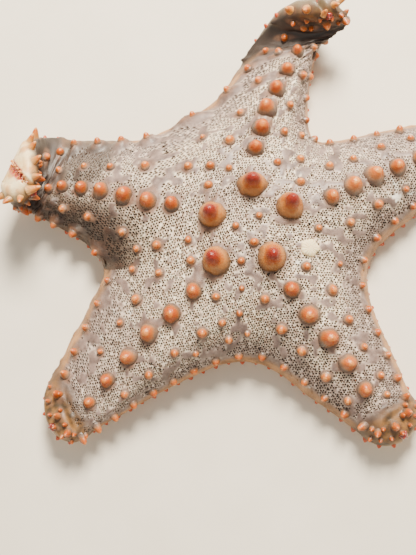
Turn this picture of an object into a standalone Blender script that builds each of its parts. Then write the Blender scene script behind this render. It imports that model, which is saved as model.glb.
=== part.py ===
"""A cushion star (a knobby Pentaceraster sea star), life size, lying on its oral side.

The star is shaped flat first: five straight, tapering arms melt into an inflated disc.
Then it is posed: the arms sway, their crests lean and their tips curl up. Tubercles stand in rows on it,
and thin cuts part the whole into the disc, the arms and their tips.
Metres, +Z up, the floor at Z = 0. +Y is the back of the pose, where one arm tip curls up.
"""

import math
from collections import namedtuple

import bmesh
import bpy
import numpy as np
from mathutils import Matrix, Vector

# ---------------------------------------------------------------- driving dimensions, in metres
ROOT_WIDTH = 0.0365  # half-width of an arm, carried in to the disc's centre
MELT = 0.0048  # how softly arms and webs melt into each other
DISC_HEIGHT = 0.031  # of the bare disc at its centre
TIP_HEIGHT = 0.0125  # of the bare arm at its tip
MARGIN_HEIGHT = 0.0055  # where the side is widest
SIDE_POWER = 1.75  # 2 is an elliptic flank, less is more sloping
SOLE_ROUNDING = 0.0045  # the edge between flank and sole
GAP = 0.00035  # a cut, and the clearance round an inset piece
SLAB_SIZE = (0.080, 0.080)  # width and height of the thin walls that make the cuts

# bearing: degrees from +X. length: of the arm laid flat. tip: half-width at its rounded end.
# breadth: times the usual width at mid-length. sway: how far the tip strays to the left of the bearing.
# lean_in, lean_out: how far the crest leans to the left, at the two distances in LEAN_AT.
# curl: degrees that the tip turns up, over the last part of the arm from curl_from of its length.
# twist: degrees to the left of the arm's own heading in which it curls.
# great: the great tubercle near the centre: its distance out, and to the left of the arm's axis.
# first, stride: distance out of the first tubercle of the crest's row, and from each to the next.
Arm = namedtuple(
    "Arm", "name bearing length tip breadth sway lean_in lean_out curl curl_from twist great first stride"
)
ARMS = (
    Arm("right", 24.5, 0.118, 0.0120, 1.02, 0, -0.0026, -0.0008,
        22, 0.74, 0, (0.0188, 0.0020), 0.0364, 0.0106),
    Arm("back", 98, 0.117, 0.0135, 0.94, -0.050, -0.0037, -0.0128,
        148, 0.69, 34, (0.0181, -0.0014), 0.0344, 0.0089),
    Arm("left", 156, 0.135, 0.0132, 1.10, 0.014, 0.0002, 0.0070,
        185, 0.66, -20, (0.0190, 0.0003), 0.0391, 0.0092),
    Arm("front_left", 213, 0.118, 0.0155, 1.22, 0.022, 0.0084, 0.0082,
        38, 0.78, 0, (0.0187, -0.0005), 0.0330, 0.0128),
    Arm("front_right", 305, 0.108, 0.0135, 1.04, 0.002, -0.0013, -0.0009,
        38, 0.78, 0, (0.0163, 0.0010), 0.0315, 0.0124),
)
LEAN_AT = (0.035, 0.090)  # distances out
# The webs between one arm and the next: bearing in degrees, and reach from the centre.
WEBS = ((62, 0.042), (122, 0.064), (189, 0.058), (264, 0.048), (342, 0.046))
WEB_RADIUS = 0.028
CURL_POWER = 1.1  # above 1 the curl tightens towards the tip
CURL_REACH = 0.030  # distance to either side of an arm's axis within which the curl acts
NEUTRAL_HEIGHT = 0.0045  # the height in an arm that keeps its length as it curls

PRIMARY_SIZE = (0.0056, 0.0101)  # of the five great tubercles: base radius, height
CARINAL_SIZE = (0.0037, 0.0056)  # of the row along the crest of an arm
CARINAL_SCALES = (0.86, 1.0, 1.0, 0.92, 0.8, 0.68, 0.55)
ROW_END = 1.06  # where the rows end, as a share of the distance at which the arm begins to curl
LESSER_SIZE = (0.0019, 0.0026)
MARGINAL_STEP, MARGINAL_DEPTH = 0.0102, 0.0034
MARGINAL_SIZE = (0.0018, 0.0026)
TIP_SPINES = 0.8  # how much longer the marginal knobs grow towards the arm tips, as a share

GROOVE_WIDTH, GROOVE_DEPTH = 0.0034, 0.0065  # half-width and depth of the furrow at the mouth
MOUTH_RADIUS, MOUTH_DEPTH, MOUTH_THICKNESS = 0.0075, 0.0080, 0.0035
MADREPORITE_RADIUS, MADREPORITE_RING, MADREPORITE_BEARING = 0.0034, 0.0265, -17.0
EYESPOT_RADIUS, EYESPOT_HEIGHT = 0.0019, 0.0070

DISC_TUBERCLES, ARM_TUBERCLES = 3, 2  # of the crest's row: on the disc, and on the arm before its tip
CUT_CLEARANCE = 0.0006  # of a tubercle's foot from a cut
KNOB_CLEARANCE = 0.0006  # of one tubercle's foot from another's
BODY_TRIANGLES = 2100
MERGE = 0.00001  # vertices closer than this become one
KEPT_SHARE = 0.72  # of the triangles of each cut piece
SOLE_SNAP = 0.0004  # vertices lower than this belong to the flat sole
SHARP_ANGLE = 50  # degrees: edges that turn more stay sharp where the rest is shaded smooth

SKIN_GREY = (0.42, 0.38, 0.37, 1)
TIP_OCHRE = (0.72, 0.42, 0.22, 1)
PLATE_CREAM = (0.86, 0.78, 0.62, 1)
EYE_RED = (0.30, 0.04, 0.02, 1)
MOUTH_PINK = (0.62, 0.40, 0.34, 1)


# ---------------------------------------------------------------- the flat star, as functions of the plan
def arm_coordinates(arm, x, y):
    """Distance out along the arm, and to the left of its straight axis."""
    turn = math.radians(arm.bearing)
    return x * math.cos(turn) + y * math.sin(turn), -x * math.sin(turn) + y * math.cos(turn)


def plan_point(arm, along, across):
    """The reverse of arm_coordinates."""
    turn = math.radians(arm.bearing)
    return (
        along * math.cos(turn) - across * math.sin(turn),
        along * math.sin(turn) + across * math.cos(turn),
    )


def half_width(along, arm):
    share = np.clip(along / (arm.length - arm.tip), 0, 1)
    widening = 1 + (arm.breadth - 1) * np.sin(math.pi * share)
    return (ROOT_WIDTH + (arm.tip - ROOT_WIDTH) * share) * widening


def depth_inside(x, y):
    """How far a plan point lies inside the star's outline; negative outside."""
    outsides = []
    for bearing, reach in WEBS:
        turn, out = math.radians(bearing), reach - WEB_RADIUS
        outsides.append(np.hypot(x - out * math.cos(turn), y - out * math.sin(turn)) - WEB_RADIUS)
    for arm in ARMS:
        along, across = arm_coordinates(arm, x, y)
        beyond = along - np.clip(along, 0, arm.length - arm.tip)
        outsides.append(np.hypot(beyond, across) - half_width(along, arm))
    return MELT * np.log(sum(np.exp(-outside / MELT) for outside in outsides))


def crest_height(x, y):
    """Height of the crest at this distance from the centre."""
    share = np.clip(np.hypot(x, y) / max(arm.length for arm in ARMS), 0, 1)
    return TIP_HEIGHT + (DISC_HEIGHT - TIP_HEIGHT) * (0.5 + 0.5 * np.cos(math.pi * share))


def top_height(x, y):
    """Height of the upper surface over a plan point inside the outline."""
    share = np.clip(depth_inside(x, y) / half_width(np.hypot(x, y), ARMS[0]), 0, 1)
    flank = (1 - (1 - share) ** SIDE_POWER) ** (1 / SIDE_POWER)
    return MARGIN_HEIGHT + (crest_height(x, y) - MARGIN_HEIGHT) * flank


def sole_height(x, y):
    """Height of the underside: flat, with a rounded edge."""
    share = np.clip(depth_inside(x, y) / SOLE_ROUNDING, 0, 1)
    return MARGIN_HEIGHT * (1 - np.sqrt(1 - (1 - share) ** 2))


def outline_radius(bearing):
    """Distance from the centre to the outline at each bearing, by bisection."""
    inner, outer = np.zeros_like(bearing), np.full_like(bearing, 0.16)
    for _ in range(40):
        middle = (inner + outer) / 2
        inside = depth_inside(middle * np.cos(bearing), middle * np.sin(bearing)) > 0
        inner, outer = np.where(inside, middle, inner), np.where(inside, outer, middle)
    return inner


def nearest_arm(x, y):
    """The arm in whose fifth a plan point lies, and the distance out along it."""
    turn = math.degrees(math.atan2(y, x))
    arm = min(ARMS, key=lambda a: abs((turn - a.bearing + 180) % 360 - 180))
    return arm, float(arm_coordinates(arm, x, y)[0])


def cuts(arm):
    """Distances out of the cuts from disc to arm and from arm to tip, midway between two tubercles."""
    to_arm = arm.first + (DISC_TUBERCLES - 0.5) * arm.stride
    return to_arm, to_arm + ARM_TUBERCLES * arm.stride


def part_name(x, y):
    """The name of the part of the star that a plan point belongs to."""
    arm, along = nearest_arm(x, y)
    to_arm, to_tip = cuts(arm)
    if along < to_arm:
        return "disc"
    return f"arm_{arm.name}" + ("_tip" if along > to_tip else "")


# ---------------------------------------------------------------- the pose
def spine(arm, along):
    """Where the arm's curled midline has got to: distance out, height and angle."""
    start = arm.curl_from * arm.length
    steps = np.linspace(0, 1.15 * (arm.length - start), 200)
    angle = math.radians(arm.curl) * (steps / (arm.length - start)) ** CURL_POWER
    step = steps[1] - steps[0]
    out = start + np.concatenate(([0], np.cumsum(np.cos(angle[:-1] + np.diff(angle) / 2)))) * step
    up = NEUTRAL_HEIGHT + np.concatenate(([0], np.cumsum(np.sin(angle[:-1] + np.diff(angle) / 2)))) * step
    past = along - start
    return np.interp(past, steps, out), np.interp(past, steps, up), np.interp(past, steps, angle)


def posed(points):
    """The points of the flat star, an N by 3 array, with arms swayed, crests leaning and tips curled up."""
    points = np.array(points, float).reshape(-1, 3)
    for arm in ARMS:
        along, across = arm_coordinates(arm, points[:, 0], points[:, 1])
        offside = np.abs(across) / half_width(along, arm)
        lean = np.interp(along, (0, *LEAN_AT), (0, arm.lean_in, arm.lean_out))
        crest = crest_height(points[:, 0], points[:, 1])
        rise = np.clip((points[:, 2] - MARGIN_HEIGHT) / (crest - MARGIN_HEIGHT), 0, None)
        sway = arm.sway * (np.clip(along, 0, None) / arm.length) ** 2
        shift = lean * rise * np.clip(1.5 - offside, 0, 1) + sway * np.clip((1.45 - offside) / 0.45, 0, 1)
        turn = math.radians(arm.bearing)
        points[:, 0] -= shift * math.sin(turn)
        points[:, 1] += shift * math.cos(turn)
        curled = (along > arm.curl_from * arm.length) & (np.abs(across) < CURL_REACH)
        out, up, angle = spine(arm, along[curled])
        rise = points[curled, 2] - NEUTRAL_HEIGHT
        shift = out - rise * np.sin(angle) - along[curled]
        slope = 2 * arm.sway * along[curled] / arm.length**2
        heading = turn + np.arctan(slope) + math.radians(arm.twist)
        points[curled, 0] += shift * np.cos(heading)
        points[curled, 1] += shift * np.sin(heading)
        points[curled, 2] = up + rise * np.cos(angle)
    return points


def posed_frame(x, y, height=top_height):
    """Matrix that stands a piece on the posed surface over a plan point, its Z along the surface's normal."""
    step = 0.0004
    plan = np.array([(x, y), (x + step, y), (x, y + step)])
    z = height(plan[:, 0], plan[:, 1])
    here, east, north = (Vector(p) for p in posed(np.column_stack((plan, z))))
    up = (east - here).cross(north - here).normalized()
    side = (east - here).normalized()
    turn = Matrix((side, up.cross(side), up)).transposed().to_4x4()
    return Matrix.Translation(here) @ turn


# ---------------------------------------------------------------- Blender helpers
def material(name, colour, roughness):
    found = bpy.data.materials.new(name)
    found.use_nodes = True
    shader = found.node_tree.nodes["Principled BSDF"]
    shader.inputs["Base Color"].default_value = colour
    shader.inputs["Roughness"].default_value = roughness
    shader.inputs["Metallic"].default_value = 0
    return found


def new_object(name, mesh_builder, collection):
    mesh = bpy.data.meshes.new(name)
    mesh_builder.to_mesh(mesh)
    mesh_builder.free()
    made = bpy.data.objects.new(name, mesh)
    collection.objects.link(made)
    return made


def apply_modifiers(target):
    """Replaces an object's mesh with what its modifiers make of it."""
    graph = bpy.context.evaluated_depsgraph_get()
    target.data = bpy.data.meshes.new_from_object(target.evaluated_get(graph))
    target.modifiers.clear()


def combine(target, other, operation):
    """Joins other to target, or cuts it away, and removes it."""
    modifier = target.modifiers.new(operation.title(), "BOOLEAN")
    modifier.operation = operation
    modifier.object = other
    apply_modifiers(target)
    bpy.data.objects.remove(other)


def on_a_cut(point):
    """Whether a point lies on one of the walls that a cut leaves."""
    for arm in ARMS:
        along, across = arm_coordinates(arm, point.x, point.y)
        if abs(across) < SLAB_SIZE[0] / 2 and any(
            abs(abs(along - cut) - GAP / 2) < 2 * MERGE for cut in cuts(arm)
        ):
            return True
    return False


def thin_out(target, share):
    """Keeps this share of the triangles, those that matter most to the shape, with the sole and cuts flat."""
    shape = bmesh.new()
    shape.from_mesh(target.data)
    bmesh.ops.dissolve_degenerate(shape, dist=MERGE, edges=shape.edges)
    bmesh.ops.remove_doubles(shape, verts=shape.verts, dist=MERGE)
    bmesh.ops.triangulate(shape, faces=shape.faces)
    shape.to_mesh(target.data)
    shape.free()
    free = target.vertex_groups.new(name="free")
    free.add([v.index for v in target.data.vertices if not on_a_cut(v.co)], 1, "REPLACE")
    thin = target.modifiers.new("Thin", "DECIMATE")
    thin.ratio = share
    thin.vertex_group = free.name
    thin.vertex_group_factor = 1000
    apply_modifiers(target)
    for vertex in target.data.vertices:
        if vertex.co.z < SOLE_SNAP:
            vertex.co.z = 0


# ---------------------------------------------------------------- the pieces
def build_body(collection):
    """The bare star: a UV sphere whose rings are drawn out to the star's outline, curled, then thinned."""
    segments, rings = 250, 64
    ball = bmesh.new()
    bmesh.ops.create_uvsphere(ball, u_segments=segments, v_segments=rings, radius=1)
    unit = np.array([vertex.co for vertex in ball.verts])
    bearing = sector_bearing(np.arctan2(unit[:, 1], unit[:, 0]) / math.tau)
    reach = outline_radius(bearing) * np.hypot(unit[:, 0], unit[:, 1])
    x, y = reach * np.cos(bearing), reach * np.sin(bearing)
    z = np.where(unit[:, 2] > 1e-6, top_height(x, y), sole_height(x, y))
    z = np.where(np.abs(unit[:, 2]) <= 1e-6, MARGIN_HEIGHT, z)
    for vertex, place in zip(ball.verts, posed(np.column_stack((x, y, z)))):
        vertex.co = place
    body = new_object("body", ball, collection)
    thin_out(body, BODY_TRIANGLES / (2 * segments * (rings - 1)))
    return body


def sector_bearing(share):
    """Bearing for each share of a turn: a fifth of them to each arm, closest together at its midline."""
    bearings = [math.radians(arm.bearing) for arm in ARMS]
    notches = [
        (here + after + (math.tau if after < here else 0)) / 2
        for here, after in zip(bearings, bearings[1:] + bearings[:1])
    ]
    sector = np.floor((share % 1) * len(ARMS)).astype(int) % len(ARMS)
    within = (share % 1) * len(ARMS) - sector
    result = np.zeros_like(share)
    for index, arm in enumerate(bearings):
        before = notches[index - 1] - (math.tau if index == 0 else 0)
        side = 2 * within - 1
        spread = 0.35 * side + 0.65 * side**3
        width = np.where(side < 0, arm - before, notches[index] - arm)
        result = np.where(sector == index, arm + spread * width, result)
    return result


def knob_profile(radius, height, rings):
    """Radius and height of each ring of a blunt knob, from its foot under the skin to near its tip."""
    steps = [math.radians(66) * ring / rings for ring in range(1, rings + 1)]
    foot = [(radius * 1.08, -0.3 * height)]
    return foot + [(radius * math.cos(angle) ** 0.8, height * math.sin(angle)) for angle in steps]


def add_knob(knobs, frame, radius, height, sides, rings=2):
    """Adds a closed knob to the bmesh: rings of a turned profile, a flat foot and a pointed tip."""
    loops = [
        [
            knobs.verts.new(frame @ Vector((r * math.cos(a), r * math.sin(a), z)))
            for a in (math.tau * side / sides for side in range(sides))
        ]
        for r, z in knob_profile(radius, height, rings)
    ]
    for lower, upper in zip(loops, loops[1:]):
        for side in range(sides):
            after = (side + 1) % sides
            knobs.faces.new((lower[side], lower[after], upper[after], upper[side]))
    tip = knobs.verts.new(frame @ Vector((0, 0, height)))
    for side in range(sides):
        knobs.faces.new((loops[-1][side], loops[-1][(side + 1) % sides], tip))
    knobs.faces.new(loops[0][::-1])


def marginal_sites(step, depth):
    """Plan points about a step apart along the outline, moved a depth inside it."""
    bearing = np.linspace(0, math.tau, 4000, endpoint=False)
    reach = outline_radius(bearing)
    x, y = reach * np.cos(bearing), reach * np.sin(bearing)
    run = np.concatenate(([0], np.cumsum(np.hypot(np.diff(x), np.diff(y)))))
    count = round(run[-1] / step)
    at = np.interp((np.arange(count) + 0.5) * run[-1] / count, run, np.arange(len(run))).astype(int)
    east, north = np.gradient(x)[at], np.gradient(y)[at]
    size = np.hypot(east, north)
    return zip(x[at] - depth * north / size, y[at] + depth * east / size)


def row_end(arm):
    """Distance out at which the rows of tubercles along an arm end, short of the fold of its curled tip."""
    return min(arm.length - 1.3 * arm.tip, ROW_END * arm.curl_from * arm.length)


def lesser_sites():
    """Plan points of the small tubercles between the crests and the margin, in rows beside each crest."""
    for index in range(3):
        turn = math.radians(50 + 120 * index)
        yield 0.0065 * math.cos(turn), 0.0065 * math.sin(turn), 0.85
    for arm in ARMS:
        for side in (-1, 1):
            for step in range(4):
                along = 0.0405 + 0.0135 * step
                across = side * 0.46 * half_width(along, arm)
                if along < row_end(arm):
                    yield *plan_point(arm, along, across), 1.05 - 0.06 * step
            yield *plan_point(arm, 0.0265, side * 0.0100), 0.9


def knob_sites():
    """Every tubercle: plan point, radius, height, sides and rings."""
    for arm in ARMS:
        yield plan_point(arm, *arm.great), *PRIMARY_SIZE, 10, 3
        for index, scale in enumerate(CARINAL_SCALES):
            along = arm.first + arm.stride * index
            if along < row_end(arm):
                radius, height = (size * scale for size in CARINAL_SIZE)
                yield plan_point(arm, along, 0), radius, height, 8, 2
    for x, y, scale in lesser_sites():
        radius, height = (size * scale for size in LESSER_SIZE)
        yield (x, y), radius, height, 6, 1
    radius, height = MARGINAL_SIZE
    for x, y in marginal_sites(MARGINAL_STEP, MARGINAL_DEPTH):
        growth = 1 + TIP_SPINES * np.clip(math.hypot(x, y) / ARMS[0].length - 0.6, 0, 0.4) / 0.4
        yield (x, y), radius, height * growth, 5, 1


def build_knobs(home, collection):
    """The tubercles of one part of the star, in one mesh of separate closed knobs, clear of the cuts."""
    knobs = bmesh.new()
    placed = []
    for (x, y), radius, height, sides, rings in knob_sites():
        arm, along = nearest_arm(x, y)
        frame = posed_frame(x, y)
        places = [frame @ Vector((0, 0, height * share)) for share in (0, 0.5, 1)]
        clear = all(abs(along - cut) > radius + CUT_CLEARANCE for cut in cuts(arm)) and all(
            min((here - there).length for here in places for there in others)
            > radius + other_radius + KNOB_CLEARANCE
            for others, other_radius in placed
        )
        if clear:
            placed.append((places, radius))
        if clear and part_name(x, y) == home:
            add_knob(knobs, frame, radius, height, sides, rings)
    return new_object("knobs", knobs, collection)


def build_furrow(arm, collection):
    """Cutter for an arm's furrow: a three-sided bar that follows the posed sole and narrows to the tip."""
    furrow = bmesh.new()
    loops = []
    end = arm.length + 0.003
    for along in np.linspace(0.6 * MOUTH_RADIUS, end, 13):
        share = 1 - 0.5 * along / end
        section = (
            (-GROOVE_WIDTH * share * 1.5, -0.5 * GROOVE_DEPTH * share),
            (GROOVE_WIDTH * share * 1.5, -0.5 * GROOVE_DEPTH * share),
            (0, GROOVE_DEPTH * share),
        )
        places = posed([(*plan_point(arm, along, across), z) for across, z in section])
        loops.append([furrow.verts.new(place) for place in places])
    for near, far in zip(loops, loops[1:]):
        for corner in range(3):
            after = (corner + 1) % 3
            furrow.faces.new((near[corner], near[after], far[after], far[corner]))
    furrow.faces.new(loops[0])
    furrow.faces.new(loops[-1][::-1])
    bmesh.ops.recalc_face_normals(furrow, faces=furrow.faces)
    return new_object("furrow", furrow, collection)


def turned_piece(name, radius, low, high, frame, collection, segments=24, taper=1.0):
    """A round plate or plug: a cylinder, or a cone cut off short, standing in a frame."""
    piece = bmesh.new()
    bmesh.ops.create_cone(
        piece,
        cap_ends=True,
        segments=segments,
        radius1=radius,
        radius2=radius * taper,
        depth=high - low,
        matrix=frame @ Matrix.Translation((0, 0, (high + low) / 2)),
    )
    return new_object(name, piece, collection)


def ball_piece(name, radius, frame, collection, segments=8):
    piece = bmesh.new()
    rings = segments // 2 + 2
    bmesh.ops.create_uvsphere(piece, u_segments=segments, v_segments=rings, radius=radius, matrix=frame)
    return new_object(name, piece, collection)


def build_slab(arm, along, collection):
    """Cutter: a thin upright wall across an arm."""
    stand = Matrix.Translation((*plan_point(arm, along, 0), 0))
    stand @= Matrix.Rotation(math.radians(arm.bearing), 4, "Z")
    slab = bmesh.new()
    bmesh.ops.create_cube(slab, size=1, matrix=stand @ Matrix.Diagonal((GAP, *SLAB_SIZE, 1)))
    return new_object("slab", slab, collection)


def part_the_star(star, collection):
    """Cuts the arms off the disc and the tips off the arms, and names the loose parts."""
    for arm in ARMS:
        for cut in cuts(arm):
            combine(star, build_slab(arm, cut, collection), "DIFFERENCE")
    bpy.ops.object.select_all(action="DESELECT")
    star.select_set(True)
    bpy.context.view_layer.objects.active = star
    bpy.ops.object.mode_set(mode="EDIT")
    bpy.ops.mesh.separate(type="LOOSE")
    bpy.ops.object.mode_set(mode="OBJECT")
    pieces = bpy.context.selected_objects[:]
    for piece in pieces:
        middle = np.mean([vertex.co[:] for vertex in piece.data.vertices], axis=0)
        piece.name = part_name(middle[0], middle[1])
        piece.data.name = piece.name
    return pieces


def centre_on_floor(pieces):
    """Moves the star so that the middle of its box stands over the origin, and shades it smooth."""
    corners = np.array([vertex.co for piece in pieces for vertex in piece.data.vertices])
    low, high = corners.min(axis=0), corners.max(axis=0)
    shift = Matrix.Translation((-(low[0] + high[0]) / 2, -(low[1] + high[1]) / 2, -low[2]))
    for piece in pieces:
        piece.data.transform(shift)
        piece.data.shade_smooth()
        piece.data.set_sharp_from_angle(angle=math.radians(SHARP_ANGLE))


def inset_pieces(star, collection, cutters):
    """The mouth, the madreporite and the eyespots, each in a pocket that clears it by the gap."""
    upright = Matrix()
    pocket = turned_piece("pocket", MOUTH_RADIUS + GAP, -0.01, MOUTH_DEPTH, upright, cutters)
    combine(star, pocket, "DIFFERENCE")
    floor_of_mouth, ceiling = MOUTH_DEPTH - GAP - MOUTH_THICKNESS, MOUTH_DEPTH - GAP
    yield turned_piece("mouth", MOUTH_RADIUS, floor_of_mouth, ceiling, upright, collection), MOUTH_PINK
    for arm in ARMS:
        combine(star, build_furrow(arm, cutters), "DIFFERENCE")

    turn = math.radians(MADREPORITE_BEARING)
    stand = posed_frame(MADREPORITE_RING * math.cos(turn), MADREPORITE_RING * math.sin(turn))
    pocket = turned_piece("pocket", MADREPORITE_RADIUS + GAP, -0.0015 - GAP, 0.01, stand, cutters, 16)
    combine(star, pocket, "DIFFERENCE")
    plate = turned_piece("madreporite", MADREPORITE_RADIUS, -0.0015, 0.0009, stand, collection, 16)
    yield plate, PLATE_CREAM

    for arm in ARMS:
        middle = posed([(*plan_point(arm, arm.length - 0.0004, 0), EYESPOT_HEIGHT)])[0]
        at_tip = Matrix.Translation(middle)
        combine(star, ball_piece("pocket", EYESPOT_RADIUS + GAP, at_tip, cutters), "DIFFERENCE")
        yield ball_piece(f"eyespot_{arm.name}", EYESPOT_RADIUS, at_tip, collection), EYE_RED


def main():
    for old in list(bpy.data.objects):
        bpy.data.objects.remove(old)
    star_parts = bpy.data.collections.new("cushion_star")
    cutters = bpy.data.collections.new("cutters")
    for collection in (star_parts, cutters):
        bpy.context.scene.collection.children.link(collection)

    star = build_body(star_parts)
    for piece, colour in inset_pieces(star, star_parts, cutters):
        piece.data.materials.append(material(piece.name, colour, 0.4))
    for piece in part_the_star(star, cutters):
        combine(piece, build_knobs(piece.name, cutters), "UNION")
        thin_out(piece, KEPT_SHARE)
        colour = TIP_OCHRE if piece.name.endswith("tip") else SKIN_GREY
        piece.data.materials.clear()
        piece.data.materials.append(material(f"{piece.name}_skin", colour, 0.6))
    centre_on_floor(star_parts.objects)
    cutters.hide_render = True
    for cutter in cutters.objects:
        cutter.display_type = "WIRE"


main()
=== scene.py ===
"""The looks of a cushion star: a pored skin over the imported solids, tubercles, spines, tube feet and mouth.

The skin is made on the same flat star as the solids. Its upper side is a honeycomb of cells, most of them
with a pore, its flank is banded, and its sole is granular, with a furrow under each arm. Then it is posed.
Metres, +Z up, the floor at Z = 0.
"""

import itertools
from collections import namedtuple
from math import atan2, ceil, cos, degrees, dist, hypot, inf, pi, radians, sin, sqrt, tau

import bpy
import numpy as np
from mathutils import Matrix, Vector


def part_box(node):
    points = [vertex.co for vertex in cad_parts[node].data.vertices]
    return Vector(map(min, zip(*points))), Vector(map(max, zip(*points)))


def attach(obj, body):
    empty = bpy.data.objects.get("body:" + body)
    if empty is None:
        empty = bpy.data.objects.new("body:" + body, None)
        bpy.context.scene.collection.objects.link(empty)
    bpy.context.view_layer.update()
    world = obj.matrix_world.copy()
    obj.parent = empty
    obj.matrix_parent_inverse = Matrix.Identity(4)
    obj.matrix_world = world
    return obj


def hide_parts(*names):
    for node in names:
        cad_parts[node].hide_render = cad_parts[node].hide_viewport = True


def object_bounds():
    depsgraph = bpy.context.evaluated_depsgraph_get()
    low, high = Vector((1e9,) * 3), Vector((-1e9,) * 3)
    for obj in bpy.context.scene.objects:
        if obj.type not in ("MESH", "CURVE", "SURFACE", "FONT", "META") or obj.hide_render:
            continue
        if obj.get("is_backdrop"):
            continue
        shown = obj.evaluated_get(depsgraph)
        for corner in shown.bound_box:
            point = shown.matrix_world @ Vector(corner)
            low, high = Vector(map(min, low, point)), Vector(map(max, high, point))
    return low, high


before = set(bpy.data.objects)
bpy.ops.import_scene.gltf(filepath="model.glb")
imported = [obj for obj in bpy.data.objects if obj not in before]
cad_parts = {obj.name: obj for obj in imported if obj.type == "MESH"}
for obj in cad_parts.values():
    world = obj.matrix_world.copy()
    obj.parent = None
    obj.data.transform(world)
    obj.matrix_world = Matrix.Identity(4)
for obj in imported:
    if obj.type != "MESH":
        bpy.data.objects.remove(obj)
CAD_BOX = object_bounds()

# ------------------------ the flat star, as in the solids
ROOT_WIDTH = 0.0365  # half-width of an arm, carried in to the disc's centre
MELT = 0.0048  # how softly arms and webs melt into each other
DISC_HEIGHT = 0.031
TIP_HEIGHT = 0.0125
MARGIN_HEIGHT = 0.0055  # where the side is widest
SIDE_POWER = 1.75
SOLE_ROUNDING = 0.0045

# bearing, curl and twist in degrees; great is the great tubercle's place, first and stride those of its row
Arm = namedtuple(
    "Arm", "name bearing length tip breadth sway lean_in lean_out curl curl_from twist great first stride"
)
ARMS = (
    Arm("right", 24.5, 0.118, 0.0120, 1.02, 0, -0.0026, -0.0008,
        22, 0.74, 0, (0.0188, 0.0020), 0.0364, 0.0106),
    Arm("back", 98, 0.117, 0.0135, 0.94, -0.050, -0.0037, -0.0128,
        148, 0.69, 34, (0.0181, -0.0014), 0.0344, 0.0089),
    Arm("left", 156, 0.135, 0.0132, 1.10, 0.014, 0.0002, 0.0070,
        185, 0.66, -20, (0.0190, 0.0003), 0.0391, 0.0092),
    Arm("front_left", 213, 0.118, 0.0155, 1.22, 0.022, 0.0084, 0.0082,
        38, 0.78, 0, (0.0187, -0.0005), 0.0330, 0.0128),
    Arm("front_right", 305, 0.108, 0.0135, 1.04, 0.002, -0.0013, -0.0009,
        38, 0.78, 0, (0.0163, 0.0010), 0.0315, 0.0124),
)
LEAN_AT = (0.035, 0.090)  # distances out where lean_in and lean_out hold
WEBS = ((62, 0.042), (122, 0.064), (189, 0.058), (264, 0.048), (342, 0.046))  # bearing, reach
WEB_RADIUS = 0.028
FURTHEST = 0.16  # well outside the outline
CURL_POWER = 1.1
CURL_REACH = 0.030
STRONG_CURL = 60  # degrees: the tips that turn up more than this show their underside
NEUTRAL_HEIGHT = 0.0045  # where a curled tip neither stretches nor shortens

PRIMARY_SIZE = (0.0056, 0.0101)  # base radius, height
CARINAL_SIZE = (0.0037, 0.0056)
CARINAL_SCALES = (0.86, 1.0, 1.0, 0.92, 0.8, 0.68, 0.55)
ROW_END = 1.06  # share of the way to where the curl begins
LESSER_SIZE = (0.0019, 0.0026)
LESSER_GAP, SCATTERED_GAP = 0.0022, 0.0062  # clear of other tubercles
MARGINAL_STEP, MARGINAL_DEPTH = 0.0102, 0.0034
MARGINAL_SIZE = (0.0018, 0.0026)
LOWER_STEP, LOWER_DEPTH = 0.0062, 0.0005
LOWER_SIZE, LOWER_SPINE_SIZE = (0.0011, 0.0015), (0.0018, 0.0050)
TIP_SPINES = 0.8  # how much taller the marginal row grows towards the tips
TIP_SPINE_SIZE = (0.0012, 0.0024)
TIP_RINGS = ((0.0009, 7), (0.0044, 5))  # distance inside the tip's end, number of spines
TIP_SPREAD = 62  # degrees to each side
GROOVE_WIDTH, GROOVE_DEPTH = 0.0034, 0.0065
MOUTH_RADIUS, MOUTH_DEPTH = 0.0075, 0.0080
SIEVE_RADIUS, SIEVE_HEIGHT = 0.0039, 0.0013
SIEVE_PLACE = (0.0265 * cos(radians(-17.0)), 0.0265 * sin(radians(-17.0)))
FRINGE_STEP, FRINGE_PLACE = 0.0021, 0.86  # place: share of the furrow's half-width
FEET_STEP, FEET_PLACE = 0.0024, 0.34
FOOT_SIZE = (0.0008, 0.0028)
LENSES, LENS_TURN = 11, 2.39996  # each eyespot's lenses, and the turn in radians from one to the next

# ------------------------ the skin
GRID_REACH = 0.14  # how far out cells are laid
PORE_SPACING, PORE_JITTER = 0.00110, 0.27
PORE_RIM, PORE_FLOOR, PORE_DEPTH = 0.00045, 0.00034, 0.0006
PORE_LIP = 0.00004  # how far a pore's rim stands up
PORE_SCALES, PORES_MISSING = (0.66, 1.1), 0.05
UPPER_INSET = 0.0016  # depth inside the outline where the honeycomb gives way to the banded flank
SOLE_SPACING, SOLE_JITTER, SOLE_INSET = 0.00105, 0.22, 0.0046
BAND_STEP = 0.0006  # from one column of the flank to the next
UPPER_ROWS = (1, 0.82, 0.66, 0.52, 0.4, 0.29, 0.2, 0.12, 0.06, 0.02, 0)  # shares of UPPER_INSET
LOWER_ROWS = (0.015, 0.05, 0.11, 0.2, 0.32, 0.48, 0.7, 1)  # shares of SOLE_INSET
GRANULE = 0.0003  # height of the sole's granules
BEAD, BEAD_REACH = 0.0029, 0.0044  # the swellings along the margins of the strongly curled arms
FOLDS = 24  # creases from the disc's centre to an arm's end
CURLED_FOLD, FOLD = 0.0005, 0.00028  # height of the creases
# where a change of the skin begins and is complete: on the strongly curled arms, then on the others
PLATED_TIP = ((0.66, 0.72), (0.87, 0.93))  # share of the arm's length; no pores from here on
FOLDED_TIP = ((0.50, 0.68), (0.82, 0.94))
DARK_TIP = ((0.66, 0.76), (0.82, 0.93))
TIP_END = ((0.955, 1.0), (0.85, 0.97))
FURROW_SIDE = ((0.9, 1.6), (0.7, 1.15))  # share of the furrow's width

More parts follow.
